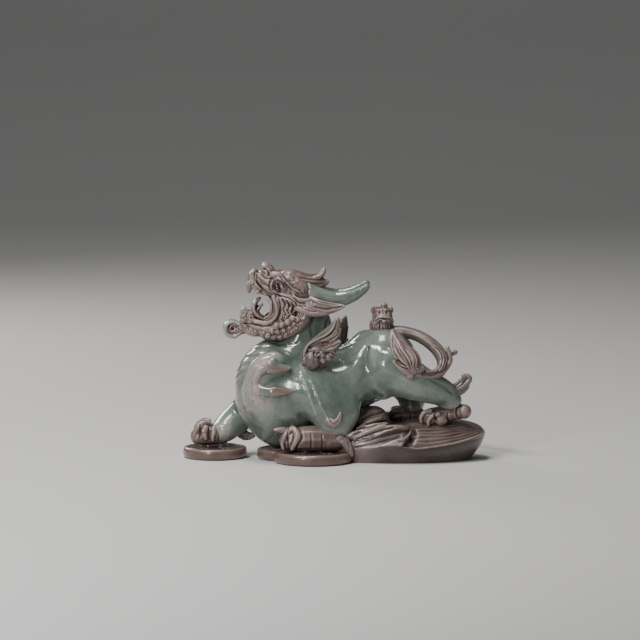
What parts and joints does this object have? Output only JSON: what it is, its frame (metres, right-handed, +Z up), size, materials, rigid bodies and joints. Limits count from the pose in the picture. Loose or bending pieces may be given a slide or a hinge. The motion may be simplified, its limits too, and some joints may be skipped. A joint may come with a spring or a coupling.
{
  "type": "foo dog statue",
  "caption": "Winged, horned guardian beast that strides over coins and a boat-shaped ingot; glazed body, bare clay trim, standing on a flat base.",
  "frame": {"origin": "middle of the footprint, on the surface that the statue stands on", "axes": "+X from the beast's head to its tail, +Y towards its right flank, +Z up"},
  "size_m": [0.1984, 0.0804, 0.1275],
  "materials": {
    "celadon_glaze": "glossy grey-green crackle glaze, darker where it pools",
    "violet_clay": "satin, bare purple-brown stoneware clay",
    "ingot_clay": "satin, bare red-brown stoneware clay",
    "dark_glaze": "glossy near-black glaze"
  },
  "bodies": {
    "root": {"chest_plate": "celadon_glaze", "chin_beard": "violet_clay", "cloud_scroll": "violet_clay", "coin_front_left": "violet_clay", "coin_front_right": "violet_clay", "coin_middle": "violet_clay", "crest": "violet_clay", "cub_head": "violet_clay", "cub_mane": "violet_clay", "ear_left": "violet_clay", "ear_right": "violet_clay", "elbow_flame_left": "violet_clay", "elbow_flame_right": "violet_clay", "eye_left": "dark_glaze", "eye_right": "dark_glaze", "front_leg_left": "celadon_glaze", "front_leg_right": "celadon_glaze", "hind_leg_left": "celadon_glaze", "hind_leg_right": "celadon_glaze", "hock_flame_left": "violet_clay", "hock_flame_right": "violet_clay", "horn_left": "celadon_glaze", "horn_right": "celadon_glaze", "ingot": "ingot_clay", "lower_fang_left": "violet_clay", "lower_fang_right": "violet_clay", "lower_jaw": "violet_clay", "mane_left": "violet_clay", "mane_right": "violet_clay", "paw_front_left": "violet_clay", "paw_front_right": "violet_clay", "paw_hind_left": "violet_clay", "paw_hind_right": "violet_clay", "shoulder_flame_left": "violet_clay", "shoulder_flame_right": "violet_clay", "skull": "violet_clay", "spine_ridge": "celadon_glaze", "tail": "violet_clay", "tail_spur": "violet_clay", "tail_tuft": "violet_clay", "tongue": "violet_clay", "torso": "celadon_glaze", "upper_fang_left": "violet_clay", "upper_fang_right": "violet_clay", "wing_left": "violet_clay", "wing_right": "violet_clay"}
  },
  "joints": []
}
